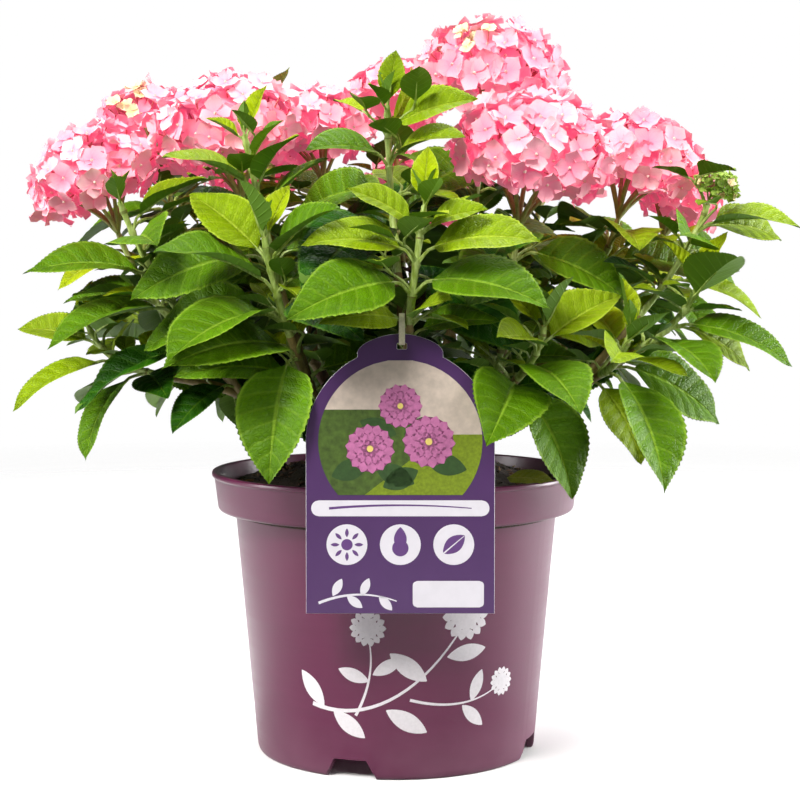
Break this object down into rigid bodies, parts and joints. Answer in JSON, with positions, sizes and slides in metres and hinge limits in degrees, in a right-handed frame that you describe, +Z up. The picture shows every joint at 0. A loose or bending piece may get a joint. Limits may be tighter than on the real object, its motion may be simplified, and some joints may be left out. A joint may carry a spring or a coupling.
{
  "type": "potted mophead hydrangea shrub",
  "caption": "Bushy flowering shrub with domed pink flower heads over opposite toothed leaves, growing in a round tapered nursery pot with a hanging card label.",
  "frame": {"origin": "on the pot's upright axis, on the level surface that the pot stands on", "axes": "+X to the plant's right as seen from the front, -Y to the front where the label hangs, +Z up"},
  "size_m": [0.4744, 0.3427, 0.4576],
  "materials": {
    "pot": "satin plum plastic",
    "compost": "moist dark fibrous compost",
    "dead_wood": "dead dark wood",
    "cane": "brown bark",
    "foliage": "satin leaf surface",
    "label": "satin printed plastic card",
    "strap": "plain cream plastic"
  },
  "bodies": {
    "root": {"pot": "pot", "compost": "compost", "stub": "dead_wood", "label": "label", "strap": "strap", "cane_front_centre": "cane", "cane_front_left": "cane", "cane_left": "cane", "cane_centre_left": "cane", "cane_front_right": "cane", "cane_right": "cane", "cane_right_rear": "cane", "cane_centre_right": "cane", "cane_rear": "cane", "cane_rear_left": "cane", "cane_rear_right": "cane", "foliage_front_centre": "foliage", "foliage_front_left": "foliage", "foliage_left": "foliage", "foliage_centre_left": "foliage", "foliage_front_right": "foliage", "foliage_right": "foliage", "foliage_right_rear": "foliage", "foliage_centre_right": "foliage", "foliage_rear": "foliage", "foliage_rear_left": "foliage", "foliage_rear_right": "foliage"}
  },
  "joints": []
}
